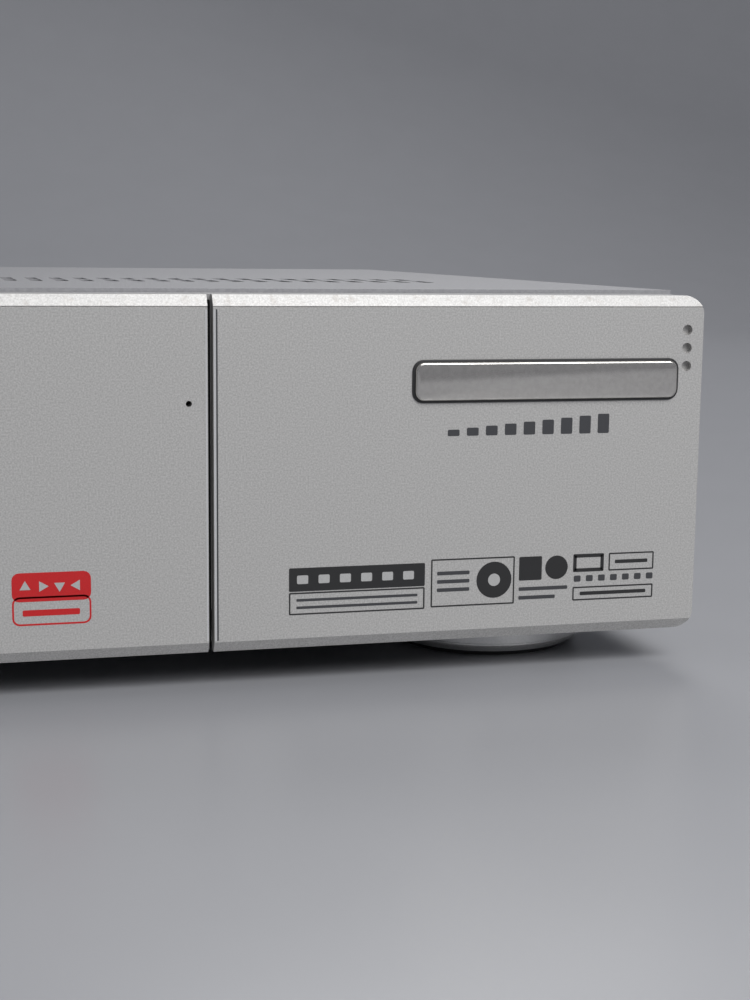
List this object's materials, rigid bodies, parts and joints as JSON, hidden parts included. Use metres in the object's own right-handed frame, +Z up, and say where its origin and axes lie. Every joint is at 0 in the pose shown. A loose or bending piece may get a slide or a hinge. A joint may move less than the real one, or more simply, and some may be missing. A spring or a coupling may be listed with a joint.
{
  "type": "satellite tv receiver",
  "caption": "Full-width silver set-top receiver with bevelled front, flip-down card door, keys, vented cover, rear sockets and round feet.",
  "frame": {"origin": "on the table under the middle of the box", "axes": "+X to the right of the front, +Y from the front into the cabinet, +Z up"},
  "size_m": [0.34, 0.26, 0.0727],
  "materials": {
    "silver_paint": "metallic silver paint",
    "bezel_plastic": "metallic silver paint",
    "cover_paint": "fine textured silver-grey paint",
    "zinc_steel": "zinc plated",
    "bright_steel": "bright",
    "dark_screw": "black zinc",
    "badge_metal": "polished",
    "smoked_lens": "smoked acrylic",
    "black_plastic": "moulded",
    "grey_plastic": "moulded",
    "red_plastic": "moulded",
    "ivory_plastic": "moulded",
    "green_board": "solder mask",
    "brown_board": "paper laminate",
    "black_alloy": "black anodised",
    "bare_alloy": "bare",
    "capacitor_sleeve": "shrunk sleeve",
    "winding_tape": "polyester tape",
    "brass": "bright",
    "foot_finish": "silver coated",
    "pad_rubber": "matt",
    "wire_sleeve": "sleeved"
  },
  "bodies": {
    "cabinet": {"fascia_plate": "silver_paint", "front_bezel": "bezel_plastic", "top_cover": "cover_paint", "chassis_tray": "zinc_steel", "rear_panel": "zinc_steel", "ci_cage": "zinc_steel", "tuner": "zinc_steel", "rf_modulator": "zinc_steel", "serial_port": "zinc_steel", "connector_nuts": "zinc_steel", "hinge_pins": "bright_steel", "board_screws": "bright_steel", "panel_screws": "bright_steel", "foot_screws": "bright_steel", "cover_screws": "dark_screw", "display_window": "smoked_lens", "tact_switches": "black_plastic", "display_module": "black_plastic", "latch_body": "black_plastic", "card_reader": "black_plastic", "scart_sockets": "black_plastic", "rca_jacks": "black_plastic", "optical_port": "black_plastic", "board_chips": "black_plastic", "mains_inlet": "black_plastic", "switch_housing": "black_plastic", "ci_sockets": "ivory_plastic", "front_cable": "ivory_plastic", "supply_cable": "ivory_plastic", "front_board": "green_board", "main_board": "green_board", "supply_board": "brown_board", "decoder_heatsink": "black_alloy", "supply_heatsink": "bare_alloy", "board_capacitors": "capacitor_sleeve", "supply_capacitors": "capacitor_sleeve", "transformer": "winding_tape", "standoffs": "brass", "inlet_pins": "brass", "feet": "foot_finish", "foot_pads": "pad_rubber", "mains_wires": "wire_sleeve"},
    "door": {"door": "silver_paint", "strike_plate": "bright_steel", "name_badge": "badge_metal"},
    "standby_button": {"standby_button": "silver_paint"},
    "menu_button": {"menu_button": "silver_paint"},
    "ok_button": {"ok_button": "silver_paint"},
    "channel_down_button": {"channel_down_button": "silver_paint"},
    "channel_up_button": {"channel_up_button": "silver_paint"},
    "volume_down_button": {"volume_down_button": "silver_paint"},
    "volume_up_button": {"volume_up_button": "silver_paint"},
    "latch_plunger": {"latch_plunger": "black_plastic"},
    "eject_button_lower": {"eject_button_lower": "grey_plastic"},
    "eject_button_upper": {"eject_button_upper": "grey_plastic"},
    "switch_rocker": {"switch_rocker": "red_plastic"}
  },
  "joints": [
    {"name": "door_hinge", "type": "hinge", "parent": "cabinet", "child": "door", "pos_m": [0.1226, -0.1235, 0.0105], "axis": [1, 0, 0], "range_deg": [0, 90]},
    {"name": "standby_button_press", "type": "slide", "parent": "cabinet", "child": "standby_button", "axis": [0, 1, 0], "range_m": [0, 0.0003], "stiffness_N_per_m": 600, "springref_m": -0.0005},
    {"name": "menu_button_press", "type": "slide", "parent": "cabinet", "child": "menu_button", "axis": [0, 1, 0], "range_m": [0, 0.0003], "stiffness_N_per_m": 600, "springref_m": -0.0005},
    {"name": "ok_button_press", "type": "slide", "parent": "cabinet", "child": "ok_button", "axis": [0, 1, 0], "range_m": [0, 0.0003], "stiffness_N_per_m": 600, "springref_m": -0.0005},
    {"name": "channel_down_button_press", "type": "slide", "parent": "cabinet", "child": "channel_down_button", "axis": [0, 1, 0], "range_m": [0, 0.0003], "stiffness_N_per_m": 600, "springref_m": -0.0005},
    {"name": "channel_up_button_press", "type": "slide", "parent": "cabinet", "child": "channel_up_button", "axis": [0, 1, 0], "range_m": [0, 0.0003], "stiffness_N_per_m": 600, "springref_m": -0.0005},
    {"name": "volume_down_button_press", "type": "slide", "parent": "cabinet", "child": "volume_down_button", "axis": [0, 1, 0], "range_m": [0, 0.0003], "stiffness_N_per_m": 600, "springref_m": -0.0005},
    {"name": "volume_up_button_press", "type": "slide", "parent": "cabinet", "child": "volume_up_button", "axis": [0, 1, 0], "range_m": [0, 0.0003], "stiffness_N_per_m": 600, "springref_m": -0.0005},
    {"name": "latch_press", "type": "slide", "parent": "cabinet", "child": "latch_plunger", "axis": [0, 1, 0], "range_m": [0, 0.0015], "stiffness_N_per_m": 400, "springref_m": -0.002},
    {"name": "eject_button_lower_push", "type": "slide", "parent": "cabinet", "child": "eject_button_lower", "axis": [0, 1, 0], "range_m": [0, 0.005], "stiffness_N_per_m": 100, "springref_m": -0.002},
    {"name": "eject_button_upper_push", "type": "slide", "parent": "cabinet", "child": "eject_button_upper", "axis": [0, 1, 0], "range_m": [0, 0.005], "stiffness_N_per_m": 100, "springref_m": -0.002},
    {"name": "rocker_tilt", "type": "hinge", "parent": "cabinet", "child": "switch_rocker", "pos_m": [-0.106, 0.119, 0.033], "axis": [0, 0, 1], "range_deg": [0, 16]}
  ]
}
